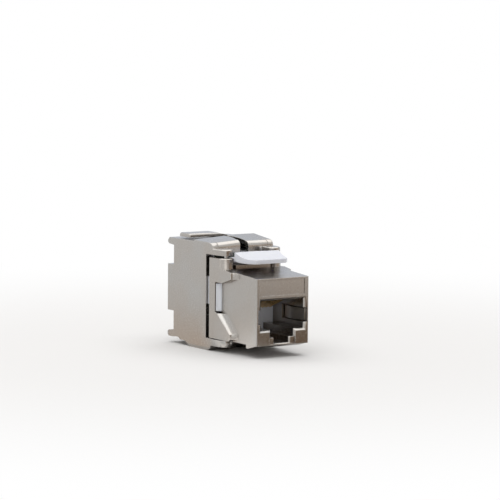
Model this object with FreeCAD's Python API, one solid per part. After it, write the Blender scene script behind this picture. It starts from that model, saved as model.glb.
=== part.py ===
import FreeCAD, Part
import math
import os

# A shielded, tool-free keystone jack.  A die-cast zinc front housing carries a modular port, and two
# die-cast wings close like shutters round the wire terminals behind it, each turning on a pin above
# and a pin below.  A plastic latch on the roof and a fixed lug on the floor hold the jack in its panel.
#
# Places are given as (x, depth, height): x to the right of the middle, seen from the port; depth
# behind the port face; height above the rear end of the port roof.  The frame's origin is under the
# middle of the closed jack, on the plane that the wings rest on.

# Overall sizes, millimetres
DEPTH = 37.0
WIDTH = 17.2
ROOF = 18.98
HALF = WIDTH / 2

# Port block of the front housing
PORT_HALF = 7.25
PORT_FLOOR = -16.0
ROOF_FRONT = -0.35
ROOF_REAR = 0.35
MOUTH_HALF = 5.95
MOUTH_TOP = -5.5
MOUTH_FLOOR = -12.4
MOUTH_END = 13.0
SPRING_SLOT_HALF = 6.85
SPRING_SLOT_TOP = -7.6
SPRING_SLOT_FLOOR = -11.0
KEYWAY_HALF = 3.2
KEYWAY_FLOOR = -14.2
CLIP_SLOT_HALF = 2.0
CLIP_SLOT_FLOOR = -15.6
CHIN_HALF = 3.6
CHIN_DEPTH = 0.4
CHIN_FLOOR = -15.8
LUG_BACK = 4.5
LUG_DROP = 0.9
LABEL_HALF = 6.15
LABEL_FLOOR = -4.35
LABEL_TOP = -0.75

# Flange of the front housing, with the knuckles for the wing pins
FLANGE_HALF = 8.5
FLANGE_FRONT = 9.4
FLANGE_BACK = 18.6
FLANGE_FLOOR = -15.9
FLANGE_TOP = 0.75
FLARE = 1.8
STEP_FOOT = -1.25
OVERHANG_END = 13.1
WINDOW_FRONT = 14.9
WINDOW_BACK = 16.1
WINDOW_TOP = -2.45
WINDOW_FLOOR = -9.5
RAMP_TOP = (15.1, -9.86)
RAMP_FOOT = (9.67, -14.26)
BLEND_TOP = -9.8
POCKET_HALF = 6.1
POCKET_TOP = -1.4
POCKET_FLOOR = -14.6
CONTACT_BAY_HALF = 5.6
CONTACT_BAY_TOP = -1.8
FRONT_WALL = 1.4

# Wing hinge line
HINGE_X = 6.65
HINGE_DEPTH = 14.15
KNUCKLE_RADIUS = 1.75
KNUCKLE_TOP = 3.3
EAR_RADIUS = 1.6
PIN_RADIUS = 0.5
PIN_CLEARANCE = 0.05
UPPER_PIN_FLOOR = 1.2
UPPER_PIN_TOP = 4.8
LOWER_PIN_FLOOR = -17.25
LOWER_PIN_TOP = -13.6

# Wings
WALL = 1.1
WING_FRONT = 17.0
SIDE_FRONT = 19.9
HOOD_BACK = 25.2
HOOD_WALL = 1.0
HOOD_ROLL = 1.35
SHELF_TOP = 6.45
REAR_WALL_FRONT = 33.0
REAR_WALL_BACK = 34.3
HOOD_FLOOR = 4.2
EAR_FLOOR = 3.9
EAR_TOP = 5.35
LOWER_EAR_TOP = -16.1
LOWER_EAR_FLOOR = -17.7
PLATE_TOP = -16.05
PLATE_FLOOR = -17.3
CABLE_HEIGHT = -5.55
CABLE_RADIUS = 4.1
GROOVE_RADIUS = 4.5
COLLAR_RADIUS = 5.6
SPLIT = 0.6
TAB_FRONT = 29.8
TAB_BACK = 34.2
TAB_FLOOR = 6.8
TAB_TOP = 7.7
TAB_END = -7.0

# Latch
LATCH_AXIS_DEPTH = 16.4
LATCH_AXIS_HEIGHT = 2.35
LATCH_BARREL = 0.85
LATCH_ROOT_HALF = 4.8
TRUNNION_HALF = 5.7
TRUNNION_RADIUS = 0.45
LATCH_FRONT = 5.1
LATCH_HALF = 6.1
LEAF_HALF = 3.0
LEDGE_FRONT = 12.4
LEDGE_TOP = 1.7

# Contacts, terminals and the plastic that holds them
CONTACT_COUNT = 8
CONTACT_PITCH = 1.016
CONTACT_WIDTH = 0.46
CONTACT_THICK = 0.3
CONTACT_RUN = -4.2
BOARD_FRONT = 18.65
BOARD_BACK = 19.85
BOARD_HALF_X = 6.3
BOARD_HALF_Z = 9.4
BLOCK_BACK = 20.85
MANAGER_FRONT = 20.95
MANAGER_BACK = 30.3
MANAGER_HALF_X = 6.3
MANAGER_HALF_Z = 9.5
MANAGER_WALL = 0.9
RING_BORE = 4.85
TERMINAL_THICK = 0.4
TERMINAL_WIDTH = 2.4
TERMINAL_TIP = 26.6


def at(x, depth, height):
    """A point of the frame from its place on the jack."""
    return FreeCAD.Vector(x, depth - DEPTH / 2, height + ROOF)


def prism(points, direction):
    return Part.Face(Part.makePolygon(points + [points[0]])).extrude(direction)


def side_prism(outline, x0, x1):
    """An outline of (depth, height) points drawn out from x0 to x1."""
    return prism([at(x0, d, h) for d, h in outline], FreeCAD.Vector(x1 - x0, 0, 0))


def plan_prism(outline, h0, h1):
    """An outline of (x, depth) points drawn up from h0 to h1."""
    return prism([at(x, d, h0) for x, d in outline], FreeCAD.Vector(0, 0, h1 - h0))


def front_prism(outline, d0, d1):
    """An outline of (x, height) points drawn back from d0 to d1."""
    return prism([at(x, d0, h) for x, h in outline], FreeCAD.Vector(0, d1 - d0, 0))


def block(x0, x1, d0, d1, h0, h1):
    return Part.makeBox(x1 - x0, d1 - d0, h1 - h0, at(x0, d0, h0))


def post(x, depth, radius, h0, h1):
    """An upright round post."""
    return Part.makeCylinder(radius, h1 - h0, at(x, depth, h0))


def rod(x, height, radius, d0, d1):
    """A round rod lying front to back."""
    return Part.makeCylinder(radius, d1 - d0, at(x, d0, height), FreeCAD.Vector(0, 1, 0))


def cross_rod(depth, height, radius, x0, x1):
    """A round rod lying left to right."""
    return Part.makeCylinder(radius, x1 - x0, at(x0, depth, height), FreeCAD.Vector(1, 0, 0))


def mirrored(shape):
    return shape.mirror(FreeCAD.Vector(0, 0, 0), FreeCAD.Vector(1, 0, 0))


def both_sides(shape):
    return [shape, mirrored(shape)]


def edges_of(shape, chosen):
    """The edges whose middle is chosen by its place (x, depth, height)."""
    edges = []
    for edge in shape.Edges:
        middle = edge.CenterOfMass
        if chosen(middle.x, middle.y + DEPTH / 2, middle.z - ROOF):
            edges.append(edge)
    return edges


def rounded(shape, radius, chosen):
    return shape.makeFillet(radius, edges_of(shape, chosen))


def bevelled(shape, width, chosen):
    return shape.makeChamfer(width, edges_of(shape, chosen))


def near(value, target):
    return abs(value - target) < 0.02


def arc(centre, radius, start, end, steps):
    """Points round a centre, from one angle to another in degrees."""
    turns = [math.radians(start + (end - start) * i / steps) for i in range(steps + 1)]
    return [(centre[0] + radius * math.cos(a), centre[1] + radius * math.sin(a)) for a in turns]


def ribbon(line, thickness):
    """The outline of a strip of even thickness along a line of points."""
    left, right = [], []
    for i, (u, v) in enumerate(line):
        before = line[max(i - 1, 0)]
        after = line[min(i + 1, len(line) - 1)]
        along = math.hypot(after[0] - before[0], after[1] - before[1])
        nu = -(after[1] - before[1]) / along * thickness / 2
        nv = (after[0] - before[0]) / along * thickness / 2
        left.append((u + nu, v + nv))
        right.append((u - nu, v - nv))
    return left + right[::-1]


# ---------------------------------------------------------------- front housing

def lead_in(half, floor, top, face, chamfer):
    """A mouth's chamfer: a frustum that narrows from the face, at a depth, to the mouth's own size."""
    wires = []
    for grow in (chamfer + 0.1, 0.0):
        depth = face + chamfer - grow
        corners = [at(-half - grow, depth, floor - grow), at(half + grow, depth, floor - grow),
                   at(half + grow, depth, top + grow), at(-half - grow, depth, top + grow)]
        wires.append(Part.makePolygon(corners + corners[:1]))
    return Part.makeLoft(wires, True, True)


def port_mouth():
    """The port as it is cut into the block: mouth, side spring slots and stepped clip keyway."""
    start = -1.0
    cut = block(-MOUTH_HALF, MOUTH_HALF, start, MOUTH_END, MOUTH_FLOOR, MOUTH_TOP)
    slots = block(-SPRING_SLOT_HALF, SPRING_SLOT_HALF, start, 9.2, SPRING_SLOT_FLOOR, SPRING_SLOT_TOP)
    keyway = block(-KEYWAY_HALF, KEYWAY_HALF, start, MOUTH_END, KEYWAY_FLOOR, MOUTH_FLOOR)
    clip = block(-CLIP_SLOT_HALF, CLIP_SLOT_HALF, start, 8.6, CLIP_SLOT_FLOOR, KEYWAY_FLOOR)
    chin = block(-CHIN_HALF, CHIN_HALF, start, CHIN_DEPTH, CHIN_FLOOR, KEYWAY_FLOOR)
    return cut.fuse([
        slots, keyway, clip, chin, lead_in(MOUTH_HALF, MOUTH_FLOOR, MOUTH_TOP, 0, 0.5),
        lead_in(KEYWAY_HALF, KEYWAY_FLOOR, MOUTH_FLOOR, 0, 0.5),
        lead_in(CLIP_SLOT_HALF, CLIP_SLOT_FLOOR + 0.15, KEYWAY_FLOOR, CHIN_DEPTH, 0.35)])


def hollow_reach(radius, step):
    """How far a hollow face of this radius runs out in front of a face that stands out by step."""
    return math.sqrt(radius ** 2 - (radius - step) ** 2)


def hollow(x, outward, step, depth, radius, floor, top):
    """A filled corner with a hollow face: from a side at x, looking outward, to a front at depth."""
    reach = hollow_reach(radius, step)
    sides = sorted([x + outward * step, x - outward * 0.1])
    corner = block(sides[0], sides[1], depth - reach, depth + 0.1, floor, top)
    return corner.cut(post(x + outward * radius, depth - reach, radius, floor - 0.1, top + 0.1))


def ramp_blend():
    """The hollow between the port's side and the flange's ramp and foot, mitred where they meet."""
    reach = hollow_reach(FLARE, FLANGE_HALF - PORT_HALF)
    axis_x = -PORT_HALF - FLARE
    run, rise = RAMP_TOP[0] - RAMP_FOOT[0], RAMP_TOP[1] - RAMP_FOOT[1]
    length = math.hypot(run, rise)
    mitre = (RAMP_FOOT[0] - reach, RAMP_FOOT[1] + reach * run / (length + rise))
    top_run = (BLEND_TOP - mitre[1]) * run / rise
    foot = FLANGE_FLOOR + 0.5
    blend = side_prism(
        [(mitre[0] + top_run, BLEND_TOP), mitre, (mitre[0], foot), (RAMP_FOOT[0] + 0.1, foot),
         (RAMP_FOOT[0] + 0.1, RAMP_FOOT[1] - 0.1), (RAMP_TOP[0] + 0.1, RAMP_TOP[1] - 0.1),
         (RAMP_TOP[0] + 0.1, BLEND_TOP)],
        -FLANGE_HALF, -PORT_HALF + 0.1)
    start = at(axis_x, mitre[0] - run, mitre[1] - rise)
    along_ramp = Part.makeCylinder(FLARE, 3 * length, start, FreeCAD.Vector(0, run, rise))
    return blend.cut([along_ramp, post(axis_x, mitre[0], FLARE, foot - 1, mitre[1] + 3)])


def front_housing():
    floor_end = FLANGE_FLOOR + 0.2
    port = side_prism(
        [(0, PORT_FLOOR), (0, ROOF_FRONT), (FLANGE_FRONT, ROOF_REAR), (WINDOW_BACK, ROOF_REAR),
         (WINDOW_BACK, floor_end), (OVERHANG_END, floor_end), (OVERHANG_END, PORT_FLOOR),
         (LUG_BACK, PORT_FLOOR), (LUG_BACK, PORT_FLOOR - LUG_DROP),
         (LUG_BACK - 0.7, PORT_FLOOR - LUG_DROP), (0.5, PORT_FLOOR)],
        -PORT_HALF, PORT_HALF)
    port = rounded(port, 0.3, lambda x, d, h: near(abs(x), PORT_HALF) and near(d, 0))
    flange = side_prism(
        [(FLANGE_FRONT, ROOF_REAR), (FLANGE_FRONT, STEP_FOOT), (OVERHANG_END, WINDOW_TOP),
         (WINDOW_BACK, WINDOW_TOP), (WINDOW_BACK, WINDOW_FLOOR), RAMP_TOP, RAMP_FOOT,
         (RAMP_FOOT[0], FLANGE_FLOOR + 0.5), (RAMP_FOOT[0] + 0.5, FLANGE_FLOOR),
         (FLANGE_BACK, FLANGE_FLOOR), (FLANGE_BACK, FLANGE_TOP), (11.9, FLANGE_TOP)],
        -FLANGE_HALF, FLANGE_HALF)
    step = FLANGE_HALF - PORT_HALF
    step_blend = hollow(-PORT_HALF, -1, step, FLANGE_FRONT, FLARE, STEP_FOOT, ROOF_REAR)
    step_blend = step_blend.common(side_prism(
        [(0, STEP_FOOT), (0, ROOF_FRONT), (FLANGE_FRONT, ROOF_REAR), (FLANGE_BACK, ROOF_REAR),
         (FLANGE_BACK, STEP_FOOT)], -HALF, 0))
    body = port.fuse([flange] + both_sides(step_blend) + both_sides(ramp_blend())).removeSplitter()
    inner = -HINGE_X + KNUCKLE_RADIUS
    knuckle = post(-HINGE_X, HINGE_DEPTH, KNUCKLE_RADIUS, FLANGE_TOP - 0.5, KNUCKLE_TOP)
    knuckle = knuckle.fuse(block(-FLANGE_HALF, inner, HINGE_DEPTH, FLANGE_BACK, FLANGE_TOP - 0.5,
                                 KNUCKLE_TOP))
    knuckle = bevelled(knuckle.removeSplitter(), 0.2, lambda x, d, h: near(h, KNUCKLE_TOP))
    ledge = plan_prism(
        [(inner - 0.1, LEDGE_FRONT), (4.4, LEDGE_FRONT)] + arc((4.4, LEDGE_FRONT + 0.6), 0.6, -90, 0, 5)
        + [(5.0, FLANGE_BACK), (inner - 0.1, FLANGE_BACK)], 0.1, LEDGE_TOP)
    body = body.fuse(both_sides(knuckle) + [ledge])
    cuts = [
        port_mouth(),
        block(-CONTACT_BAY_HALF, CONTACT_BAY_HALF, FRONT_WALL, MOUTH_END + 0.1, MOUTH_TOP - 0.01,
              CONTACT_BAY_TOP),
        block(-POCKET_HALF, POCKET_HALF, MOUTH_END, FLANGE_BACK + 0.1, POCKET_FLOOR, POCKET_TOP),
        block(-HALF, HALF, WINDOW_FRONT, WINDOW_BACK, WINDOW_FLOOR, WINDOW_TOP),
        block(-LABEL_HALF, LABEL_HALF, -0.1, 0.2, LABEL_FLOOR, LABEL_TOP),
        cross_rod(LATCH_AXIS_DEPTH, LATCH_AXIS_HEIGHT, LATCH_BARREL + 0.1, inner, -inner),
        cross_rod(LATCH_AXIS_DEPTH, LATCH_AXIS_HEIGHT, TRUNNION_RADIUS + PIN_CLEARANCE,
                  -TRUNNION_HALF - 0.1, TRUNNION_HALF + 0.1),
    ]
    for side in (-1, 1):
        cuts.append(post(side * HINGE_X, HINGE_DEPTH, PIN_RADIUS, UPPER_PIN_FLOOR, KNUCKLE_TOP + 0.1))
        cuts.append(post(side * HINGE_X, HINGE_DEPTH, PIN_RADIUS, FLANGE_FLOOR - 0.1, LOWER_PIN_TOP))
    return body.cut(cuts).removeSplitter()


# ---------------------------------------------------------------- wings

def wing_side_outline(front_top, back_top):
    """The side plate's outline: hinge arms in front, three grips behind, the foot pad below."""
    return [
        (WING_FRONT, EAR_FLOOR), (SIDE_FRONT, EAR_FLOOR), (SIDE_FRONT, LOWER_EAR_TOP),
        (17.7, LOWER_EAR_TOP), (17.7, -17.65), (17.95, -18.35), (19.0, -ROOF), (27.2, -ROOF),
        (29.1, -17.85), (31.3, -17.85), (32.2, -17.25), (35.2, -17.5), (36.6, -17.45),
        (DEPTH, -17.0), (DEPTH, -16.4), (36.6, -16.0), (REAR_WALL_BACK, -15.7),
        (REAR_WALL_BACK, CABLE_HEIGHT - COLLAR_RADIUS), (36.7, CABLE_HEIGHT - COLLAR_RADIUS),
        (DEPTH, CABLE_HEIGHT - COLLAR_RADIUS + 0.3), (DEPTH, CABLE_HEIGHT + COLLAR_RADIUS - 0.3),
        (36.7, CABLE_HEIGHT + COLLAR_RADIUS), (REAR_WALL_BACK, CABLE_HEIGHT + COLLAR_RADIUS),
        (REAR_WALL_BACK, 4.75), (36.5, 4.95), (DEPTH, 5.35), (DEPTH, 5.8), (36.5, SHELF_TOP - 0.3),
        (HOOD_BACK, SHELF_TOP - 0.3), (HOOD_BACK, back_top - 0.5), (18.8, front_top - 0.35),
        (17.8, 5.7), (WING_FRONT + 0.2, EAR_TOP - 0.1),
    ]


def hood(top_edge, front_top, back_top, tilt):
    """Front wall and top plate in one, with a broad roll between, cut to the wing's inner edge.

    front_top and back_top are the plate's heights along the wing's side; tilt is its rise towards the
    middle, per millimetre.
    """
    inner = 2.0
    inner_top = front_top + tilt * (HALF + inner)
    wall = front_prism(
        [(-HALF, HOOD_FLOOR), (inner, HOOD_FLOOR), (inner, inner_top), (-HALF, front_top)],
        WING_FRONT, WING_FRONT + WALL)
    plate = prism(
        [at(-HALF, WING_FRONT, front_top - HOOD_WALL), at(inner, WING_FRONT, inner_top - HOOD_WALL),
         at(inner, WING_FRONT, inner_top), at(-HALF, WING_FRONT, front_top)],
        FreeCAD.Vector(0, HOOD_BACK - WING_FRONT, back_top - front_top))
    bent = wall.fuse(plate).removeSplitter()
    bent = rounded(bent, HOOD_ROLL, lambda x, d, h: near(d, WING_FRONT) and h > front_top - 0.1)
    plan = [(-HALF, WING_FRONT)] + top_edge + [(-HALF, HOOD_BACK)]
    bent = bent.common(plan_prism(plan, HOOD_FLOOR - 1, back_top + 2))
    slope = (back_top - front_top) / (HOOD_BACK - WING_FRONT)
    return rounded(bent, 0.3, lambda x, d, h: near(x, -HALF) and d < HOOD_BACK - 0.1
                   and h > front_top - 0.6 + slope * (d - WING_FRONT))


def seam_groove(plate):
    """The shallow groove across the hood's roll, where the wing's side was joined to its top."""
    strip = plate.common(block(-7.1, -6.95, WING_FRONT - 0.5, 19.4, EAR_TOP + 0.1, 9))
    core = strip.translated(FreeCAD.Vector(0, 0.1, -0.1))
    return strip.cut(core)


def wing(top_edge, front_top, back_top, tilt):
    """The left wing.  top_edge is the inner edge of its hood, as (x, depth) points from the front."""
    shell = side_prism(wing_side_outline(front_top, back_top), -HALF, -HALF + WALL)
    roof = hood(top_edge, front_top, back_top, tilt)
    riser = block(-HALF + 0.3, top_edge[-1][0], HOOD_BACK - 0.9, HOOD_BACK, SHELF_TOP - 1.0,
                  back_top - 0.35)
    inner = -SPLIT
    lip_inner = -2.4
    shelf = block(-HALF, top_edge[-1][0], HOOD_BACK - 0.8, REAR_WALL_BACK, SHELF_TOP - 1.0, SHELF_TOP)
    lip = side_prism(
        [(REAR_WALL_BACK - 0.5, 5.0), (36.5, 4.95), (DEPTH, 5.35), (DEPTH, 5.95), (36.55, SHELF_TOP),
         (REAR_WALL_BACK - 0.5, SHELF_TOP)], -HALF, lip_inner)
    shelf = shelf.fuse(lip).removeSplitter()
    shelf = rounded(shelf, 0.25, lambda x, d, h: near(x, -HALF) and h > 5.7)
    floor = block(-HALF, inner, 17.7, REAR_WALL_BACK, PLATE_FLOOR, PLATE_TOP)
    pad = side_prism(
        [(17.7, PLATE_TOP), (17.7, -17.65), (17.95, -18.35), (19.0, -ROOF), (27.2, -ROOF),
         (29.1, -17.85), (31.3, -17.85), (32.2, -17.25), (32.2, PLATE_TOP)], -HALF, inner - 0.2)
    foot = side_prism(
        [(REAR_WALL_BACK - 0.5, -17.4), (35.2, -17.5), (36.6, -17.45), (DEPTH, -17.0),
         (DEPTH, -16.4), (36.6, -16.0), (REAR_WALL_BACK - 0.5, -15.9)], -HALF, lip_inner)
    back = block(-HALF, inner, REAR_WALL_FRONT, REAR_WALL_BACK, PLATE_FLOOR, 5.2)
    upper_back = block(-HALF + 0.3, -2.6, REAR_WALL_FRONT, REAR_WALL_BACK, 5.0, SHELF_TOP - 0.3)
    collar = rod(0, CABLE_HEIGHT, COLLAR_RADIUS, REAR_WALL_FRONT, DEPTH)
    ribs = [block(-HALF, -1.5, REAR_WALL_FRONT, DEPTH, CABLE_HEIGHT + s * COLLAR_RADIUS - (s + 1) / 2,
                  CABLE_HEIGHT + s * COLLAR_RADIUS - (s - 1) / 2) for s in (-1, 1)]
    ears = []
    for h0, h1 in ((EAR_FLOOR, EAR_TOP), (LOWER_EAR_FLOOR, LOWER_EAR_TOP)):
        arm = plan_prism(
            [(-HINGE_X - EAR_RADIUS, HINGE_DEPTH), (-HINGE_X + EAR_RADIUS, HINGE_DEPTH),
             (-HINGE_X + EAR_RADIUS, WING_FRONT + WALL), (-HALF, WING_FRONT + WALL),
             (-HALF, HINGE_DEPTH + 1.5)], h0, h1)
        ears.append(post(-HINGE_X, HINGE_DEPTH, EAR_RADIUS, h0, h1).fuse(arm).removeSplitter())
    ears[0] = bevelled(ears[0], 0.2, lambda x, d, h: near(h, EAR_TOP) and d < WING_FRONT)
    ears.append(hollow(-HINGE_X + EAR_RADIUS, 1, 0.8, WING_FRONT, 0.8, HOOD_FLOOR, EAR_TOP))
    pushers = [block(-5.9, -5.0, MANAGER_BACK + 0.15, REAR_WALL_FRONT, h - 0.6, h + 0.6)
               for h in (CABLE_HEIGHT - 7.4, CABLE_HEIGHT + 7.4)]
    shell = shell.fuse([roof, riser, shelf, floor, pad, foot, back, upper_back, collar]
                       + ears + ribs + pushers)
    cuts = [
        rod(0, CABLE_HEIGHT, CABLE_RADIUS, REAR_WALL_FRONT - 0.1, DEPTH + 0.1),
        post(-HINGE_X, HINGE_DEPTH, PIN_RADIUS + PIN_CLEARANCE, EAR_FLOOR - 0.1, UPPER_PIN_TOP + 0.1),
        post(-HINGE_X, HINGE_DEPTH, PIN_RADIUS + PIN_CLEARANCE, LOWER_PIN_FLOOR - 0.1,
             LOWER_EAR_TOP + 0.1),
    ]
    cuts += [rod(0, CABLE_HEIGHT, GROOVE_RADIUS, d, d + 0.7) for d in (33.8, 35.2)]
    cuts.append(block(-SPLIT, HALF, REAR_WALL_FRONT - 0.1, DEPTH + 0.1, -12.5, 1.5))
    cuts.append(seam_groove(roof))
    return shell.cut(cuts).removeSplitter()


def left_wing():
    return wing([(-0.9, WING_FRONT), (-0.95, 18.9), (-0.2, 20.9), (0.0, 22.5), (0.0, HOOD_BACK)],
                front_top=6.55, back_top=6.83, tilt=0.058)


def right_wing():
    """The right wing closes last: a stepped tab on its top reaches over the left wing's shelf."""
    shell = mirrored(wing(
        [(-1.45, WING_FRONT), (-1.35, 18.6), (-1.5, 20.2), (-1.5, 21.4), (-1.15, 23.0), (-0.6, 24.6),
         (-0.55, HOOD_BACK)],
        front_top=6.61, back_top=7.55, tilt=0.0))
    tab = front_prism(
        [(8.3, SHELF_TOP - 0.5), (8.3, SHELF_TOP), (6.8, 6.6), (4.3, 6.95), (2.1, 7.35), (1.0, TAB_TOP),
         (TAB_END, TAB_TOP), (TAB_END, TAB_FLOOR), (1.4, TAB_FLOOR), (2.4, SHELF_TOP - 0.5)],
        TAB_FRONT, TAB_BACK)
    tab = rounded(tab, 0.6, lambda x, d, h: near(x, TAB_END) and near(h, TAB_TOP))
    tab = rounded(tab, 0.45, lambda x, d, h: near(d, TAB_FRONT) and h > TAB_FLOOR + 0.3 and x < 1)
    return shell.fuse(tab).removeSplitter()


def hinge_pin(side, h0, h1):
    return post(side * HINGE_X, HINGE_DEPTH, PIN_RADIUS, h0, h1)


# ---------------------------------------------------------------- latch

def snap_latch():
    """Snap tooth with a hollow ramp and chamfered corners, on a leaf with a round root."""
    tooth = side_prism(
        [(LATCH_FRONT, 2.5), (LATCH_FRONT, 3.45), (6.4, 3.5), (8.0, 3.7), (9.3, 4.02), (10.4, 4.48),
         (11.0, 4.8), (11.5, 4.8), (11.5, 2.8), (9.4, 2.5)],
        -LATCH_HALF, LATCH_HALF)
    plan = plan_prism(
        [(-LATCH_HALF, 12), (-LATCH_HALF, 10.5), (-5.35, 6.4), (-4.0, LATCH_FRONT), (4.0, LATCH_FRONT),
         (5.35, 6.4), (LATCH_HALF, 10.5), (LATCH_HALF, 12)], 1, 6)
    leaf = side_prism(
        [(10.5, 2.8), (10.5, 4.4), (12.0, 4.75), (14.6, 4.5), (16.4, LATCH_AXIS_HEIGHT + LATCH_BARREL),
         (16.4, LATCH_AXIS_HEIGHT), (15.0, 3.0)],
        -LEAF_HALF, LEAF_HALF)
    root = cross_rod(LATCH_AXIS_DEPTH, LATCH_AXIS_HEIGHT, LATCH_BARREL, -LATCH_ROOT_HALF, LATCH_ROOT_HALF)
    trunnions = cross_rod(LATCH_AXIS_DEPTH, LATCH_AXIS_HEIGHT, TRUNNION_RADIUS, -TRUNNION_HALF,
                          TRUNNION_HALF)
    return tooth.common(plan).fuse([leaf, root, trunnions]).removeSplitter()


# ---------------------------------------------------------------- port contacts and their carrier

def contact_x(i):
    return (i - (CONTACT_COUNT - 1) / 2) * CONTACT_PITCH


def port_contact(i):
    """A spring contact: back to the board along the ceiling, bent at the front, sloping into the port."""
    bend = 0.8
    slope = 22
    line = [(BOARD_BACK - 0.1, CONTACT_RUN)]
    line += arc((4.6, CONTACT_RUN - bend), bend, 90, 270 - slope, 6)
    end = line[-1]
    line += [(end[0] + 7.2 * math.cos(math.radians(slope)),
              end[1] - 7.2 * math.sin(math.radians(slope)))]
    x = contact_x(i)
    return side_prism(ribbon(line, CONTACT_THICK), x - CONTACT_WIDTH / 2, x + CONTACT_WIDTH / 2)


def contact_carrier():
    """White insert: a comb over the port, a wall behind it and a snap lug in each side window."""
    comb = block(-5.5, 5.5, FRONT_WALL + 0.2, MOUTH_END + 0.5, MOUTH_TOP + 0.15, CONTACT_BAY_TOP - 0.1)
    wall = block(-6.0, 6.0, MOUTH_END + 0.05, BOARD_FRONT, POCKET_FLOOR + 0.1, POCKET_TOP - 0.1)
    lug = plan_prism(
        [(-5.9, WINDOW_FRONT + 0.05), (-7.35, WINDOW_FRONT + 0.1), (-8.3, WINDOW_BACK - 0.1),
         (-5.9, WINDOW_BACK - 0.1)],
        WINDOW_FLOOR + 0.15, WINDOW_TOP - 0.3)
    slots = []
    for i in range(CONTACT_COUNT):
        x = contact_x(i)
        slots.append(block(x - 0.33, x + 0.33, FRONT_WALL + 0.1, BOARD_FRONT + 0.1, MOUTH_TOP,
                           CONTACT_RUN + CONTACT_THICK / 2))
    return comb.fuse([wall] + both_sides(lug)).removeSplitter().cut(slots)


def shield_spring(side):
    """A bowed leaf in the port's side slot that grips the plug's shield."""
    line = [(6.7, 0.9), (6.68, 1.7), (6.1, 3.4), (5.78, 4.9), (5.78, 5.5), (6.2, 7.0), (6.7, 8.9)]
    outline = [(side * x, d) for x, d in ribbon(line, 0.2)]
    return plan_prism(outline, SPRING_SLOT_FLOOR + 0.3, SPRING_SLOT_TOP - 0.3)


# ---------------------------------------------------------------- board, terminals and wire manager

def terminals():
    """Each fork terminal as (x, height off the cable line, whether its wire runs sideways)."""
    forks = []
    for up in (1, -1):
        for side in (-1, 1):
            forks.append((side * 5.65, up * 6.4, True))
            forks.append((side * 3.4, up * 8.95, False))
    return forks


def upright_box(fork, thick, wide, d0, d1):
    """A box about a terminal's middle, thick along its wire and wide across it."""
    x, rise, sideways = fork
    half_x = thick / 2 if sideways else wide / 2
    half_h = wide / 2 if sideways else thick / 2
    height = CABLE_HEIGHT + rise
    return block(x - half_x, x + half_x, d0, d1, height - half_h, height + half_h)


def idc_terminal(fork):
    """A forked insulation-displacement terminal: a foot in the board and a slit that opens at its tip."""
    foot = upright_box(fork, TERMINAL_THICK, 0.8, BOARD_FRONT + 0.1, BOARD_BACK)
    plate = upright_box(fork, TERMINAL_THICK, TERMINAL_WIDTH, BOARD_BACK, TERMINAL_TIP)
    slit = upright_box(fork, 1.0, 0.4, 22.0, TERMINAL_TIP + 0.1)
    mouth = upright_box(fork, 1.0, 1.0, TERMINAL_TIP - 0.7, TERMINAL_TIP + 0.1)
    return foot.fuse(plate).removeSplitter().cut([slit, mouth])


def circuit_board():
    """The board between contacts and terminals, with a hole for each foot and tail."""
    board = block(-BOARD_HALF_X, BOARD_HALF_X, BOARD_FRONT, BOARD_BACK, CABLE_HEIGHT - BOARD_HALF_Z,
                  CABLE_HEIGHT + BOARD_HALF_Z)
    holes = []
    for i in range(CONTACT_COUNT):
        x = contact_x(i)
        holes.append(block(x - CONTACT_WIDTH / 2, x + CONTACT_WIDTH / 2, BOARD_FRONT - 0.1,
                           BOARD_BACK - 0.1, CONTACT_RUN - CONTACT_THICK / 2,
                           CONTACT_RUN + CONTACT_THICK / 2))
    for fork in terminals():
        holes.append(upright_box(fork, TERMINAL_THICK, 0.8, BOARD_FRONT + 0.1, BOARD_BACK + 0.1))
    return board.cut(holes)


def idc_block():
    """White terminal block behind the board: a plate clipped round its sides, and eight slotted posts."""
    plate = block(-6.4, 6.4, BOARD_BACK, BLOCK_BACK, CABLE_HEIGHT - 9.6, CABLE_HEIGHT + 9.6)
    strip = block(-8.05, -BOARD_HALF_X - 0.05, BOARD_FRONT, BOARD_BACK - 0.15, -8.0, -1.5)
    strip = strip.fuse(block(-7.0, -BOARD_HALF_X - 0.05, BOARD_BACK - 0.2, BOARD_BACK + 0.2, -8.0, -1.5))
    posts = []
    cuts = []
    for fork in terminals():
        posts.append(upright_box(fork, 1.0, 3.6, BLOCK_BACK - 0.2, TERMINAL_TIP + 0.5))
        cuts.append(upright_box(fork, TERMINAL_THICK, TERMINAL_WIDTH, BOARD_BACK, TERMINAL_TIP + 0.6))
        cuts.append(upright_box(fork, 1.4, 0.7, 22.0, TERMINAL_TIP + 0.6))
    return plate.fuse(both_sides(strip) + posts).removeSplitter().cut(cuts)


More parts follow.
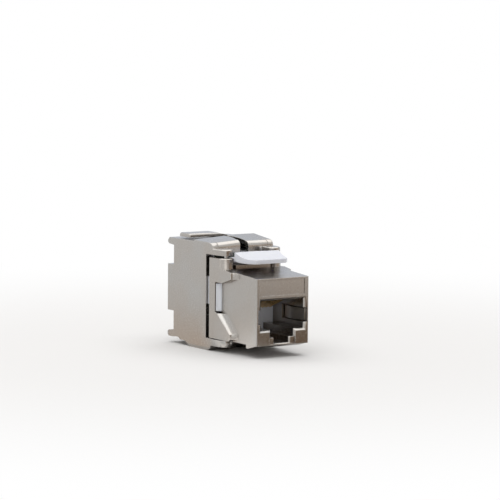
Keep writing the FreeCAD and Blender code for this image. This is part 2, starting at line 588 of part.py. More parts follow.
def wire_manager():
    """White cap over the terminals: windows for the posts, slotted tabs for the wires, a cable ring."""
    x1, z1 = MANAGER_HALF_X, MANAGER_HALF_Z
    top, floor = CABLE_HEIGHT + z1, CABLE_HEIGHT - z1
    box = block(-x1, x1, MANAGER_FRONT, MANAGER_BACK, floor, top)
    box = rounded(box, 0.6, lambda x, d, h: near(d, MANAGER_BACK))
    cone = Part.makeCone(6.9, 5.6, 1.2, at(0, MANAGER_BACK - 0.1, CABLE_HEIGHT), FreeCAD.Vector(0, 1, 0))
    cone = cone.common(block(-x1, x1, MANAGER_BACK - 0.1, MANAGER_BACK + 1.2, floor, top))
    ring = rod(0, CABLE_HEIGHT, 5.75, MANAGER_BACK + 1.05, MANAGER_BACK + 2.3)
    box = box.fuse([cone, ring]).removeSplitter()
    inner_x, inner_z = x1 - MANAGER_WALL, z1 - MANAGER_WALL
    cuts = [
        block(-inner_x, inner_x, MANAGER_FRONT - 0.1, MANAGER_BACK - 1.4,
              CABLE_HEIGHT - inner_z, CABLE_HEIGHT + inner_z),
        rod(0, CABLE_HEIGHT, RING_BORE, MANAGER_BACK - 2, MANAGER_BACK + 2.4),
        block(-x1 - 0.1, x1 + 0.1, MANAGER_FRONT - 0.1, 26.6, CABLE_HEIGHT - 2.85, CABLE_HEIGHT + 2.85),
    ]
    tabs = []
    for fork in terminals():
        cuts.append(upright_box(fork, 1.6, 4.0, MANAGER_FRONT - 0.1, 27.4))
        x, rise, sideways = fork
        inward = (x - math.copysign(1.5, x), rise, True) if sideways else (
            x, rise - math.copysign(1.4, rise), False)
        tab = upright_box(inward, 0.7, 3.4, 23.8, 29.0)
        tabs.append(tab.cut(upright_box(inward, 1.0, 0.9, 23.7, 26.6)))
    return box.cut(cuts).fuse(tabs).removeSplitter()


def all_parts():
    parts = {
        "front_housing": front_housing(),
        "left_wing": left_wing(),
        "right_wing": right_wing(),
        "snap_latch": snap_latch(),
        "contact_carrier": contact_carrier(),
        "circuit_board": circuit_board(),
        "idc_block": idc_block(),
        "wire_manager": wire_manager(),
        "shield_spring_left": shield_spring(-1),
        "shield_spring_right": shield_spring(1),
        "hinge_pin_left_top": hinge_pin(-1, UPPER_PIN_FLOOR, UPPER_PIN_TOP),
        "hinge_pin_left_bottom": hinge_pin(-1, LOWER_PIN_FLOOR, LOWER_PIN_TOP),
        "hinge_pin_right_top": hinge_pin(1, UPPER_PIN_FLOOR, UPPER_PIN_TOP),
        "hinge_pin_right_bottom": hinge_pin(1, LOWER_PIN_FLOOR, LOWER_PIN_TOP),
    }
    for i in range(CONTACT_COUNT):
        parts["port_contact_%d" % (i + 1)] = port_contact(i)
    for i, fork in enumerate(terminals()):
        parts["idc_terminal_%d" % (i + 1)] = idc_terminal(fork)
    return parts


os.makedirs("parts", exist_ok=True)
for name, shape in all_parts().items():
    shape.exportStep("parts/" + name + ".step")
    print(name, "solids", len(shape.Solids), "valid", shape.isValid(), "volume", round(shape.Volume, 2))
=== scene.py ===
import math

import bpy
from mathutils import Matrix, Vector


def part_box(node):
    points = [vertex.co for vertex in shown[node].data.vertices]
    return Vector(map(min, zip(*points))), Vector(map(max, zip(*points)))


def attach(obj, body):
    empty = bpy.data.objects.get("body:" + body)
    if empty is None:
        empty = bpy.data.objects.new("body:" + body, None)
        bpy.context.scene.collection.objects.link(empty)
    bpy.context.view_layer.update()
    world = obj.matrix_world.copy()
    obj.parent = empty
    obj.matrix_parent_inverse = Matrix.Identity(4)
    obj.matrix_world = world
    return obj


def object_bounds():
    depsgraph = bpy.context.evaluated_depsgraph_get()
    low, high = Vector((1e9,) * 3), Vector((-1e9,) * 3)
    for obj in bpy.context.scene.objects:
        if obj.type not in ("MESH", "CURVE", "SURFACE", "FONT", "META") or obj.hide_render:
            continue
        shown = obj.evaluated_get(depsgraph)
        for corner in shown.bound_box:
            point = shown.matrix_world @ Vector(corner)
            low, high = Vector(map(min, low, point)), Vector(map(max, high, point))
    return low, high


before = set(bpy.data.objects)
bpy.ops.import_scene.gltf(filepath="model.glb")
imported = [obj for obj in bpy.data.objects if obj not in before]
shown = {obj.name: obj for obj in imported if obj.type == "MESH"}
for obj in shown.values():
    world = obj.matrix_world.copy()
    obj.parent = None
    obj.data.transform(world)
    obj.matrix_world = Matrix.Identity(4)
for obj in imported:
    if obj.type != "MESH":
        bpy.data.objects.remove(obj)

cad_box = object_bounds()
low, high = Vector(cad_box[0]), Vector(cad_box[1])

# ---------------------------------------------------------------- die-cast shells
# The front housing and the two wings are die-cast zinc under satin nickel.  The cast skin is very
# finely pitted, and tumbling barely breaks its edges, which catch a thin line of light; a painted
# highlight lightens their colour too.  Painted shade makes the plating darker and browner in the
# corners and under and between the pieces.
SHELL_EDGE = 0.00010
WELD_REACH = 0.000002
EDGE_STEPS = 2
SHARP_FROM = math.radians(40)
FACE_WEIGHT = 80

NICKEL = (0.392, 0.386, 0.372)
NICKEL_WARM = (0.388, 0.362, 0.333)
# A painted highlight for the broken edges.
NICKEL_EDGE_HIGHLIGHT = (0.54, 0.52, 0.49)
# Painted brown shade for the corners, and under and between the pieces.
NICKEL_PAINTED_SHADE = (0.150, 0.118, 0.095)
NICKEL_ROUGH = 0.26
NICKEL_ROUGH_SPAN = (0.24, 0.28)
DRIFT_SCALE = 90.0
CAST_GRAIN_SCALE = 5200.0
CAST_PIT_DEPTH = 0.000010
CAST_PIT_STRENGTH = 0.045
# How far the painted edge highlight reaches, and below it how far the painted corner shade reaches.
HIGHLIGHT_REACH = 0.00010
SHADE_REACH = 0.0042

# The sockets of a colour mix, and the part of a noise's range that its values fill.
FACTOR, UNDER, OVER, MIXED = 0, 6, 7, 2
NOISE_SPAN = (0.3, 0.7)


def wire(owner, source, output, target, socket):
    """Joins one node's output to another's input in a material or the world."""
    owner.node_tree.links.new(source.outputs[output], target.inputs[socket])


def start_material(name, base_color, roughness, metallic=0.0):
    """A material whose shader is ready, with the object's own coordinates beside it."""
    material = bpy.data.materials.new(name)
    material.use_nodes = True
    tree = material.node_tree
    shader = tree.nodes["Principled BSDF"]
    shader.inputs["Base Color"].default_value = (*base_color, 1.0)
    shader.inputs["Roughness"].default_value = roughness
    shader.inputs["Metallic"].default_value = metallic
    place = tree.nodes.new("ShaderNodeTexCoord")
    return material, shader, place


def add_noise(material, place, scale, detail):
    """A noise over the object, its scale in bumps per metre."""
    noise = material.node_tree.nodes.new("ShaderNodeTexNoise")
    noise.inputs["Scale"].default_value = scale
    noise.inputs["Detail"].default_value = detail
    wire(material, place, "Object", noise, "Vector")
    return noise


def add_blend(material, factor, output, from_color, to_color):
    """A colour between two, by a factor."""
    mix = material.node_tree.nodes.new("ShaderNodeMix")
    mix.data_type = "RGBA"
    mix.inputs[UNDER].default_value = (*from_color, 1.0)
    mix.inputs[OVER].default_value = (*to_color, 1.0)
    wire(material, factor, output, mix, FACTOR)
    return mix


def lay_over(material, under, under_output, mask, mask_output, color):
    """A colour laid over another where the mask is 1."""
    mix = add_blend(material, mask, mask_output, color, color)
    wire(material, under, under_output, mix, UNDER)
    return mix


def add_range(material, source, output, span, to_low, to_high):
    """Maps a number from its span to another."""
    mapped = material.node_tree.nodes.new("ShaderNodeMapRange")
    mapped.inputs["From Min"].default_value = span[0]
    mapped.inputs["From Max"].default_value = span[1]
    mapped.inputs["To Min"].default_value = to_low
    mapped.inputs["To Max"].default_value = to_high
    wire(material, source, output, mapped, "Value")
    return mapped


def vary_roughness(material, noise, shader, smooth, rough):
    """Lets a noise carry the roughness from smooth to rough."""
    wire(material, add_range(material, noise, "Fac", NOISE_SPAN, smooth, rough), "Result",
         shader, "Roughness")


def add_bump(material, noise, distance, strength, shader):
    """A noise's relief on the shader, its height in metres."""
    bump = material.node_tree.nodes.new("ShaderNodeBump")
    bump.inputs["Distance"].default_value = distance
    bump.inputs["Strength"].default_value = strength
    wire(material, noise, "Fac", bump, "Height")
    wire(material, bump, "Normal", shader, "Normal")
    return bump


def edge_highlight_mask(material, radius):
    """1 along the edges, where a painted highlight goes, and 0 on the flats, from how far a rounded
    normal leaves the flat one.

    The rounded normal is returned with it."""
    tree = material.node_tree
    rounded = tree.nodes.new("ShaderNodeBevel")
    rounded.samples = 6
    rounded.inputs["Radius"].default_value = radius
    flat = tree.nodes.new("ShaderNodeNewGeometry")
    dot = tree.nodes.new("ShaderNodeVectorMath")
    dot.operation = "DOT_PRODUCT"
    wire(material, rounded, "Normal", dot, 0)
    wire(material, flat, "True Normal", dot, 1)
    return add_range(material, dot, "Value", (0.995, 0.90), 0.0, 1.0), rounded


def painted_shade_mask(material, reach, own_shade_only):
    """Painted shade: 1 deep in the corners and 0 on the open faces; the last argument leaves other
    pieces' shade out of it.
    """
    hidden = material.node_tree.nodes.new("ShaderNodeAmbientOcclusion")
    hidden.samples = 8
    hidden.only_local = own_shade_only
    hidden.inputs["Distance"].default_value = reach
    return add_range(material, hidden, "AO", (0.20, 0.78), 1.0, 0.0)


def satin_nickel(name, own_shade_only):
    """Satin nickel, with a painted highlight on its broken edges and painted brown shade in its
    corners.
    """
    material, shader, place = start_material(name, NICKEL, NICKEL_ROUGH, 1.0)
    drift = add_noise(material, place, DRIFT_SCALE, 2.0)
    tint = add_range(material, drift, "Fac", (0.35, 0.65), 0.0, 1.0)
    body = add_blend(material, tint, "Result", NICKEL, NICKEL_WARM)
    # A painted highlight along the edges.
    edge, rounded = edge_highlight_mask(material, HIGHLIGHT_REACH)
    highlighted = lay_over(material, body, MIXED, edge, "Result", NICKEL_EDGE_HIGHLIGHT)
    # Painted shade in the corners, and under and between the pieces where they shelter each other.
    corner_shade = painted_shade_mask(material, SHADE_REACH, own_shade_only)
    shaded_body = lay_over(material, highlighted, MIXED, corner_shade, "Result", NICKEL_PAINTED_SHADE)
    wire(material, shaded_body, MIXED, shader, "Base Color")
    grain = add_noise(material, place, CAST_GRAIN_SCALE, 3.0)
    vary_roughness(material, grain, shader, *NICKEL_ROUGH_SPAN)
    pits = add_bump(material, grain, CAST_PIT_DEPTH, CAST_PIT_STRENGTH, shader)
    wire(material, rounded, "Normal", pits, "Normal")
    return material


def finish_node(name, material, edge):
    """Gives a node of the model its finish and breaks its sharp edges."""
    node = shown[name]
    node.data.materials.clear()
    node.data.materials.append(material)
    if edge > 0:
        weld = node.modifiers.new("closed_seams", "WELD")
        weld.merge_threshold = WELD_REACH
        bevel = node.modifiers.new("broken_edges", "BEVEL")
        bevel.width = edge
        bevel.segments = EDGE_STEPS
        bevel.limit_method = "ANGLE"
        bevel.angle_limit = SHARP_FROM
        bevel.use_clamp_overlap = True
        bevel.harden_normals = False
        shade = node.modifiers.new("even_faces", "WEIGHTED_NORMAL")
        shade.keep_sharp = False
        shade.weight = FACE_WEIGHT


# A wing swings away from what shelters it, so only its own corners get the painted shade; the
# housing's painted shade also takes in the pieces around it.
housing_nickel = satin_nickel("housing_nickel", False)
wing_nickel = satin_nickel("wing_nickel", True)
finish_node("front_housing", housing_nickel, SHELL_EDGE)
for name in ("left_wing", "right_wing"):
    finish_node(name, wing_nickel, SHELL_EDGE)

# ---------------------------------------------------------------- wing pins
# Short pins of turned steel, pressed into the housing's knuckles, on which the wings' ears turn.
# Their edges are inside the ears, so they stay as turned.
PIN_STEEL = (0.50, 0.49, 0.47)
PIN_ROUGH_SPAN = (0.22, 0.36)
TURNED_SCALE = 3000.0
pin_steel, pin_shader, pin_place = start_material("pin_steel", PIN_STEEL, 0.28, 1.0)
turned = add_noise(pin_steel, pin_place, TURNED_SCALE, 2.0)
vary_roughness(pin_steel, turned, pin_shader, *PIN_ROUGH_SPAN)
for side in ("left", "right"):
    for end in ("top", "bottom"):
        finish_node(f"hinge_pin_{side}_{end}", pin_steel, 0.0)

# ---------------------------------------------------------------- snap latch
# The latch is moulded in white plastic: a snap tooth on a thin leaf, with a round root held in two
# cheeks of the housing.  Its surface is a fine matt and its edges are soft.
LATCH_WHITE = (0.69, 0.70, 0.745)
LATCH_ROUGH = 0.42
LATCH_EDGE = 0.00035
SHADED_SHARE = 0.965
PLASTIC_DRIFT_SCALE = 160.0
PLASTIC_GRAIN_SCALE = 6500.0
PLASTIC_GRAIN_DEPTH = 0.000006
PLASTIC_GRAIN_STRENGTH = 0.3


def moulded_plastic(name, color, roughness):
    """Matt moulded plastic that lets a little light in."""
    material, shader, place = start_material(name, color, roughness)
    shader.inputs["Subsurface Weight"].default_value = 0.25
    shader.inputs["Subsurface Radius"].default_value = (0.0012, 0.0012, 0.0014)
    shader.inputs["Subsurface Scale"].default_value = 1.0
    drift = add_noise(material, place, PLASTIC_DRIFT_SCALE, 2.0)
    darker = tuple(SHADED_SHARE * value for value in color)
    wire(material, add_blend(material, drift, "Fac", darker, color), MIXED, shader, "Base Color")
    grain = add_noise(material, place, PLASTIC_GRAIN_SCALE, 2.0)
    vary_roughness(material, grain, shader, roughness - 0.05, roughness + 0.06)
    add_bump(material, grain, PLASTIC_GRAIN_DEPTH, PLASTIC_GRAIN_STRENGTH, shader)
    return material


latch_plastic = moulded_plastic("latch_plastic", LATCH_WHITE, LATCH_ROUGH)
finish_node("snap_latch", latch_plastic, LATCH_EDGE)

# ---------------------------------------------------------------- inner mouldings
# The contact carrier, the terminal block and the wire manager are moulded in plain white plastic.
# They clip together round the board, and show in the side window, the side gap and the port.
INNER_WHITE = (0.75, 0.77, 0.825)
INNER_ROUGH = 0.36
INNER_EDGE = 0.00012
inner_plastic = moulded_plastic("inner_plastic", INNER_WHITE, INNER_ROUGH)
for name in ("contact_carrier", "idc_block", "wire_manager"):
    finish_node(name, inner_plastic, INNER_EDGE)

# ---------------------------------------------------------------- port contacts
# Eight phosphor-bronze springs under a gold flash, which is uneven along each spring.  They are
# held side by side in the carrier, and touch the plug's contacts.
GOLD = (0.80, 0.56, 0.22)
GOLD_THIN = (0.70, 0.47, 0.19)
GOLD_THICK = (0.86, 0.63, 0.28)
GOLD_ROUGH_SPAN = (0.16, 0.30)
GOLD_FILM_SCALE = 700.0
CONTACT_EDGE = 0.00004
contact_gold, gold_shader, gold_place = start_material("contact_gold", GOLD, 0.22, 1.0)
film = add_noise(contact_gold, gold_place, GOLD_FILM_SCALE, 3.0)
flash = add_blend(contact_gold, film, "Fac", GOLD_THIN, GOLD_THICK)
wire(contact_gold, flash, MIXED, gold_shader, "Base Color")
vary_roughness(contact_gold, film, gold_shader, *GOLD_ROUGH_SPAN)
for number in range(1, 9):
    finish_node(f"port_contact_{number}", contact_gold, CONTACT_EDGE)

# ---------------------------------------------------------------- shield springs
# Two bowed leaves of spring steel, rolled and cut, with a satin finish.  They sit in the port's
# side slots, where they touch the plug's metal shield.
SPRING_STEEL = (0.52, 0.50, 0.47)
SPRING_ROUGH_SPAN = (0.32, 0.42)
ROLLED_SCALE = 1500.0
SPRING_EDGE = 0.00003
spring_steel, spring_shader, spring_place = start_material("spring_steel", SPRING_STEEL, 0.36, 1.0)
rolled = add_noise(spring_steel, spring_place, ROLLED_SCALE, 2.0)
vary_roughness(spring_steel, rolled, spring_shader, *SPRING_ROUGH_SPAN)
for side in ("left", "right"):
    finish_node(f"shield_spring_{side}", spring_steel, SPRING_EDGE)

# ---------------------------------------------------------------- fork terminals
# Eight tinned fork terminals, stamped flat, each with a slit that strips and grips the wire.
# Their tails are soldered to the board.
TIN = (0.58, 0.57, 0.55)
TIN_DARK = (0.50, 0.49, 0.47)
TIN_BRIGHT = (0.66, 0.65, 0.63)
TIN_ROUGH_SPAN = (0.28, 0.50)
TIN_BLOOM_SCALE = 900.0
TERMINAL_EDGE = 0.00005
tin, tin_shader, tin_place = start_material("tinned_bronze", TIN, 0.38, 1.0)
bloom = add_noise(tin, tin_place, TIN_BLOOM_SCALE, 4.0)
vary_roughness(tin, bloom, tin_shader, *TIN_ROUGH_SPAN)
wire(tin, add_blend(tin, bloom, "Fac", TIN_DARK, TIN_BRIGHT), MIXED, tin_shader, "Base Color")
for number in range(1, 9):
    finish_node(f"idc_terminal_{number}", tin, TERMINAL_EDGE)

# ---------------------------------------------------------------- circuit board
# A glass-laminate board under dark green solder mask, with the weave just showing.  It stands
# between the carrier and the terminal block, and joins the contacts to the terminals.
MASK_GREEN = (0.010, 0.045, 0.022)
MASK_DARK = (0.008, 0.036, 0.018)
MASK_LIGHT = (0.014, 0.058, 0.028)
MASK_ROUGH = 0.30
MASK_GLOSS = 0.4
WEAVE_SCALE = 900.0
WEAVE_WAVER = 0.6
BOARD_EDGE = 0.00005
solder_mask, mask_shader, mask_place = start_material("solder_mask", MASK_GREEN, MASK_ROUGH)
weave = solder_mask.node_tree.nodes.new("ShaderNodeTexWave")
weave.inputs["Scale"].default_value = WEAVE_SCALE
weave.inputs["Distortion"].default_value = WEAVE_WAVER
wire(solder_mask, mask_place, "Object", weave, "Vector")
greens = add_blend(solder_mask, weave, "Fac", MASK_DARK, MASK_LIGHT)
wire(solder_mask, greens, MIXED, mask_shader, "Base Color")
mask_shader.inputs["Coat Weight"].default_value = MASK_GLOSS
finish_node("circuit_board", solder_mask, BOARD_EDGE)

# ---------------------------------------------------------------- wire colour marks
# Sixteen small printed tiles on the wire manager, two behind each terminal slot, which show the
# two standard wiring orders.  Each corner takes one pair: its plain wire goes in at the side, and
# its striped one above or below.
TILE_LONG = 0.0016
TILE_WIDE = 0.0015
TILE_CORNER = 0.00025
TILE_CORNER_STEPS = 4
TILE_FROM_MIDDLE = 0.54 * TILE_WIDE
INK = 0.00004
MARK_DEPTH = 0.0101
SIDE_SLOT = 0.0064
END_SLOT = 0.0034
BLUE, ORANGE = (0.02, 0.09, 0.42), (0.78, 0.22, 0.02)
GREEN, BROWN = (0.02, 0.24, 0.07), (0.16, 0.06, 0.025)
STRIPE_WHITE = (0.80, 0.80, 0.79)
STRIPE_SCALE = 620.0
STRIPE_SHARE = 0.5
PRINT_ROUGH = 0.45

# The colours of each corner's pair in the first and in the second wiring order.
CORNER_PAIRS = {(-1, 1): (BLUE, BLUE), (1, 1): (ORANGE, GREEN),
                (-1, -1): (GREEN, ORANGE), (1, -1): (BROWN, BROWN)}
manager_low, manager_high = (Vector(corner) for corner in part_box("wire_manager"))
cable_z = (manager_low.z + manager_high.z) / 2
spots, tints, stripes, turns = [], [], [], []
for (across, upward), pair in CORNER_PAIRS.items():
    face_x = manager_high.x if across > 0 else manager_low.x
    face_z = manager_high.z if upward > 0 else manager_low.z
    for half, tint in zip((-1, 1), pair):
        offset = half * TILE_FROM_MIDDLE
        spots.append((face_x, MARK_DEPTH, cable_z + upward * SIDE_SLOT + offset))
        turns.append((0.0, across * math.pi / 2, 0.0))
        stripes.append(0.0)
        spots.append((across * END_SLOT + offset, MARK_DEPTH, face_z))
        turns.append((0.0, 0.0 if upward > 0 else math.pi, 0.0))
        stripes.append(1.0)
        tints += [(*tint, 1.0), (*tint, 1.0)]


def read_attribute(material, name):
    """The value that each tile carries under a name."""
    reader = material.node_tree.nodes.new("ShaderNodeAttribute")
    reader.attribute_name = name
    return reader


def add_math(owner, operation):
    """A sum node of a material or the world."""
    node = owner.node_tree.nodes.new("ShaderNodeMath")
    node.operation = operation
    return node


colour_print, print_shader, print_place = start_material("colour_print", STRIPE_WHITE,
                                                         PRINT_ROUGH)
bands = colour_print.node_tree.nodes.new("ShaderNodeTexWave")
bands.bands_direction = "DIAGONAL"
bands.inputs["Scale"].default_value = STRIPE_SCALE
wire(colour_print, print_place, "Object", bands, "Vector")
white_band = add_math(colour_print, "GREATER_THAN")
white_band.inputs[1].default_value = STRIPE_SHARE
wire(colour_print, bands, "Fac", white_band, 0)
where_white = add_math(colour_print, "MULTIPLY")
wire(colour_print, white_band, 0, where_white, 0)
wire(colour_print, read_attribute(colour_print, "striped"), "Fac", where_white, 1)
striping = lay_over(colour_print, read_attribute(colour_print, "tint"), "Color", where_white, 0,
                    STRIPE_WHITE)
wire(colour_print, striping, MIXED, print_shader, "Base Color")

marks_mesh = bpy.data.meshes.new("wire_colour_marks")
marks_mesh.from_pydata(spots, [], [])
tint_layer = marks_mesh.attributes.new("tint", "FLOAT_COLOR", "POINT")
tint_layer.data.foreach_set("color", [part for tint in tints for part in tint])
stripe_layer = marks_mesh.attributes.new("striped", "FLOAT", "POINT")
stripe_layer.data.foreach_set("value", stripes)
turn_layer = marks_mesh.attributes.new("turn", "FLOAT_VECTOR", "POINT")
turn_layer.data.foreach_set("vector", [part for turn in turns for part in turn])
marks = bpy.data.objects.new("wire_colour_marks", marks_mesh)
bpy.context.scene.collection.objects.link(marks)

tiles = bpy.data.node_groups.new("printed_tiles", "GeometryNodeTree")
tiles.interface.new_socket("Points", in_out="INPUT", socket_type="NodeSocketGeometry")
tile_sizes = {"Tile Wide": TILE_WIDE, "Tile Long": TILE_LONG, "Tile Corner": TILE_CORNER,
              "Ink": INK}
for label in tile_sizes:
    tiles.interface.new_socket(label, in_out="INPUT", socket_type="NodeSocketFloat")
tiles.interface.new_socket("Marks", in_out="OUTPUT", socket_type="NodeSocketGeometry")


def tile_node(kind, **settings):
    """A node of the tile tree, with its settings."""
    node = tiles.nodes.new(kind)
    for key, value in settings.items():
        setattr(node, key, value)
    return node


given = tile_node("NodeGroupInput")
made = tile_node("NodeGroupOutput")
outline = tile_node("GeometryNodeCurvePrimitiveQuadrilateral")
rounding = tile_node("GeometryNodeFilletCurve", mode="POLY")
rounding.inputs["Count"].default_value = TILE_CORNER_STEPS
patch = tile_node("GeometryNodeFillCurve", mode="NGONS")
thick = tile_node("GeometryNodeExtrudeMesh", mode="FACES")
placed = tile_node("GeometryNodeInstanceOnPoints")
turn_read = tile_node("GeometryNodeInputNamedAttribute", data_type="FLOAT_VECTOR")
turn_read.inputs["Name"].default_value = "turn"
real = tile_node("GeometryNodeRealizeInstances")
painted = tile_node("GeometryNodeSetMaterial")
painted.inputs["Material"].default_value = colour_print
for source, output, target, socket in (
        (given, "Tile Wide", outline, "Width"), (given, "Tile Long", outline, "Height"),
        (outline, "Curve", rounding, "Curve"), (given, "Tile Corner", rounding, "Radius"),
        (rounding, "Curve", patch, "Curve"), (patch, "Mesh", thick, "Mesh"),
        (given, "Ink", thick, "Offset Scale"), (given, "Points", placed, "Points"),
        (thick, "Mesh", placed, "Instance"), (turn_read, "Attribute", placed, "Rotation"),
        (placed, "Instances", real, "Geometry"), (real, "Geometry", painted, "Geometry"),
        (painted, "Geometry", made, "Marks")):
    tiles.links.new(source.outputs[output], target.inputs[socket])
printer = marks.modifiers.new("print", "NODES")
printer.node_group = tiles
for item in tiles.interface.items_tree:
    if item.in_out == "INPUT" and item.name in tile_sizes:
        printer[item.identifier] = tile_sizes[item.name]
bpy.context.view_layer.update()
ready = marks.evaluated_get(bpy.context.evaluated_depsgraph_get())
printed_mesh = bpy.data.meshes.new_from_object(ready)
marks.modifiers.clear()
marks.data = printed_mesh
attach(marks, "housing")

# ---------------------------------------------------------------- floor
# A pale matt sheet under the jack.  It keeps the jack's shadow, and runs out to white with
# distance.
FLOOR_HALF = 4.0
FLOOR_PALE = (0.80, 0.79, 0.78)
FLOOR_ROUGH = 0.7
FADE_SPAN = (0.04, 0.19)


def flat_card(name, corners):
    """A thin sheet through its corners."""
    mesh = bpy.data.meshes.new(name)
    mesh.from_pydata(corners, [], [tuple(range(len(corners)))])
    card = bpy.data.objects.new(name, mesh)
    bpy.context.scene.collection.objects.link(card)
    return card


floor = flat_card("floor", [(FLOOR_HALF * across, FLOOR_HALF * along, low.z)
                            for across, along in ((-1, -1), (1, -1), (1, 1), (-1, 1))])
floor_paint, floor_shader, floor_place = start_material("floor_paint", FLOOR_PALE, FLOOR_ROUGH)
floor_shader.inputs["Specular IOR Level"].default_value = 0.0
floor_nodes = floor_paint.node_tree.nodes
away = floor_nodes.new("ShaderNodeVectorMath")
away.operation = "LENGTH"
wire(floor_paint, floor_place, "Object", away, 0)
fade = add_range(floor_paint, away, "Value", FADE_SPAN, 0.0, 1.0)
fade.interpolation_type = "SMOOTHSTEP"
floor_rays = floor_nodes.new("ShaderNodeLightPath")
glow = floor_nodes.new("ShaderNodeEmission")
to_white = floor_nodes.new("ShaderNodeMixShader")
sight_ray = add_math(floor_paint, "MAXIMUM")
seen_fade = add_math(floor_paint, "MULTIPLY")
wire(floor_paint, floor_rays, "Is Camera Ray", sight_ray, 0)
wire(floor_paint, floor_rays, "Is Glossy Ray", sight_ray, 1)
wire(floor_paint, sight_ray, 0, seen_fade, 0)
wire(floor_paint, fade, "Result", seen_fade, 1)
wire(floor_paint, seen_fade, 0, to_white, 0)
wire(floor_paint, floor_shader, "BSDF", to_white, 1)
wire(floor_paint, glow, "Emission", to_white, 2)
wire(floor_paint, to_white, 0, floor_nodes["Material Output"], "Surface")
floor.data.materials.append(floor_paint)

# ---------------------------------------------------------------- cards for the gloss
# Plain glowing cards, no lamps, that only the metal's gloss sees, so they paint reflections on the
# metal: brown ones before the port, as a wooden table would be, a bright and a warm one on the
# floor at the left, and a pale blue one behind on the right.
# Lying cards: height over the floor, colour, strength, and the corners as (x, y).
LYING_CARDS = {
    "table_card": (0.0003, (0.17, 0.10, 0.05), 1.0,
                   [(0.004, -0.021), (0.060, -0.045), (0.080, -0.075), (0.030, -0.105),
                    (-0.005, -0.060)]),
    "shade_strip": (0.0002, (0.36, 0.26, 0.19), 1.0,
                    [(-0.022, -0.034), (0.0, -0.034), (0.105, -0.28), (-0.155, -0.26)]),
    "bright_strip": (0.0003, (1.0, 0.955, 0.92), 1.40,
                     [(-0.0095, -0.0190), (-0.0095, -0.0060), (-0.0370, 0.0330),
                      (-0.0370, 0.0210)]),
    "warm_strip": (0.0003, (0.88, 0.77, 0.68), 1.0,
                   [(-0.0100, 0.0010), (-0.0100, 0.0240), (-0.0480, 0.0820), (-0.0480, 0.0590)]),
}
# Standing cards: height of the top, colour, and the two ends of the foot as (x, y).
STANDING_CARDS = {
    "wood_card": (0.070, (0.74, 0.58, 0.44), (0.105, -0.28), (0.29, -0.13)),
    "shade_card": (0.070, (0.36, 0.26, 0.19), (-0.155, -0.26), (0.105, -0.28)),
    "sky_card": (0.30, (0.74, 0.78, 0.86), (0.07, 0.36), (0.40, 0.14)),
}


def gloss_card(name, corners, color, strength):
    """A card that glows in one colour, for glossy rays alone."""
    card = flat_card(name, corners)
    paint, shader, _ = start_material(name + "_paint", (0.0, 0.0, 0.0), 1.0)
    shader.inputs["Specular IOR Level"].default_value = 0.0
    shader.inputs["Emission Color"].default_value = (*color, 1.0)
    shader.inputs["Emission Strength"].default_value = strength
    card.data.materials.append(paint)
    card.visible_camera = False
    card.visible_diffuse = False
    card.visible_shadow = False
    card.visible_transmission = False


for name, (lift, color, strength, corners) in LYING_CARDS.items():
    gloss_card(name, [(x, y, low.z + lift) for x, y in corners], color, strength)
for name, (top, color, start, end) in STANDING_CARDS.items():
    gloss_card(name, [(*start, low.z), (*end, low.z), (*end, top), (*start, top)], color, 1.0)

# ---------------------------------------------------------------- surround and lamps
# A white surround that shows white and lights at less than half of that, a broad lamp overhead a
# little behind the jack, and a weak fill from the front left.
SURROUND_LIT = 0.45
SURROUND_SEEN = 1.0
WHITE = (1.0, 1.0, 1.0)
OVERHEAD_PLACE = Vector((0.03, 0.10, 0.78))
OVERHEAD_SIZE = (1.4, 1.2)
OVERHEAD_POWER = 7.6
FILL_PLACE = Vector((-0.55, -0.65, 0.40))
FILL_SIZE = (0.6, 0.6)
FILL_POWER = 0.8
FILL_COLOR = (1.0, 0.98, 0.96)
surround = bpy.data.worlds.new("surround")
surround.use_nodes = True
bpy.context.scene.world = surround
world_nodes = surround.node_tree.nodes
lit = world_nodes["Background"]
seen = world_nodes.new("ShaderNodeBackground")
for background, strength in ((lit, SURROUND_LIT), (seen, SURROUND_SEEN)):
    background.inputs["Color"].default_value = (*WHITE, 1.0)
    background.inputs["Strength"].default_value = strength
rays = world_nodes.new("ShaderNodeLightPath")
either = add_math(surround, "MAXIMUM")
every = add_math(surround, "MAXIMUM")
choose = world_nodes.new("ShaderNodeMixShader")
wire(surround, rays, "Is Camera Ray", either, 0)
wire(surround, rays, "Is Glossy Ray", either, 1)
wire(surround, either, 0, every, 0)
wire(surround, rays, "Is Transmission Ray", every, 1)
wire(surround, every, 0, choose, 0)
wire(surround, lit, 0, choose, 1)
wire(surround, seen, 0, choose, 2)
wire(surround, choose, 0, world_nodes["World Output"], 0)


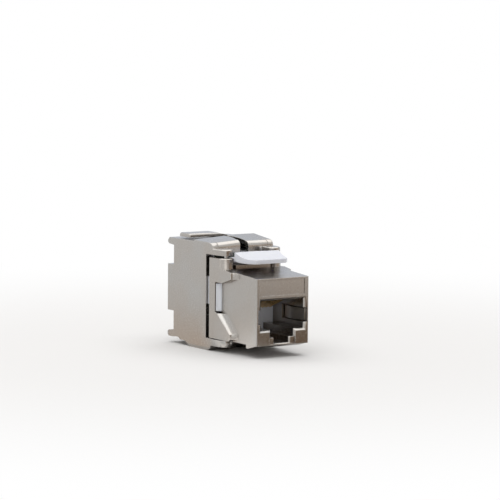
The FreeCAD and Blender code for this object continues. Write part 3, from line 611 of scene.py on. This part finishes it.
def add_lamp(name, place, size, power, color):
    """A soft lamp at a place, turned to the middle of the jack."""
    data = bpy.data.lights.new(name, "AREA")
    data.shape = "RECTANGLE"
    data.size, data.size_y = size
    data.energy = power
    data.color = color
    lamp = bpy.data.objects.new(name, data)
    lamp.location = place
    lamp.rotation_euler = ((low + high) / 2 - place).to_track_quat("-Z", "Y").to_euler()
    bpy.context.scene.collection.objects.link(lamp)


add_lamp("overhead", OVERHEAD_PLACE, OVERHEAD_SIZE, OVERHEAD_POWER, WHITE)
add_lamp("fill", FILL_PLACE, FILL_SIZE, FILL_POWER, FILL_COLOR)

# ---------------------------------------------------------------- camera
# A long lens low on the left of the port, which leaves the jack a little below the middle of the
# frame.  The aim is shifted by turning the camera, across and down in shares of the distance.
CAMERA_AZIMUTH = math.radians(-33.5)
CAMERA_ELEVATION = math.radians(6.956)
CAMERA_ROLL = math.radians(0.51)
CAMERA_DISTANCE = 0.65029
LENS_PER_WIDTH = 5.514
AIM_ACROSS = 0.001639
AIM_DOWN = 0.020003
SENSOR = 36.0
NEAR_CLIP = 0.01
AIMED_AT = Vector((0.0, -0.0065, 0.01098))
back = Vector((math.sin(CAMERA_AZIMUTH) * math.cos(CAMERA_ELEVATION),
               -math.cos(CAMERA_AZIMUTH) * math.cos(CAMERA_ELEVATION),
               math.sin(CAMERA_ELEVATION)))
level = Vector((math.cos(CAMERA_AZIMUTH), math.sin(CAMERA_AZIMUTH), 0.0))
up = back.cross(level)
right = math.cos(CAMERA_ROLL) * level + math.sin(CAMERA_ROLL) * up
up = back.cross(right)
basis = Matrix((right, up, back)).transposed()
sight = basis @ Vector((AIM_ACROSS, -AIM_DOWN, -1.0))
basis = sight.rotation_difference(-back).to_matrix() @ basis
camera_data = bpy.data.cameras.new("camera")
camera_data.sensor_width = SENSOR
camera_data.lens = LENS_PER_WIDTH * SENSOR
camera_data.clip_start = NEAR_CLIP
camera = bpy.data.objects.new("camera", camera_data)
camera.matrix_world = Matrix.Translation(AIMED_AT + CAMERA_DISTANCE * back) @ basis.to_4x4()
bpy.context.scene.collection.objects.link(camera)
bpy.context.scene.camera = camera
bpy.context.scene.view_settings.view_transform = "Standard"
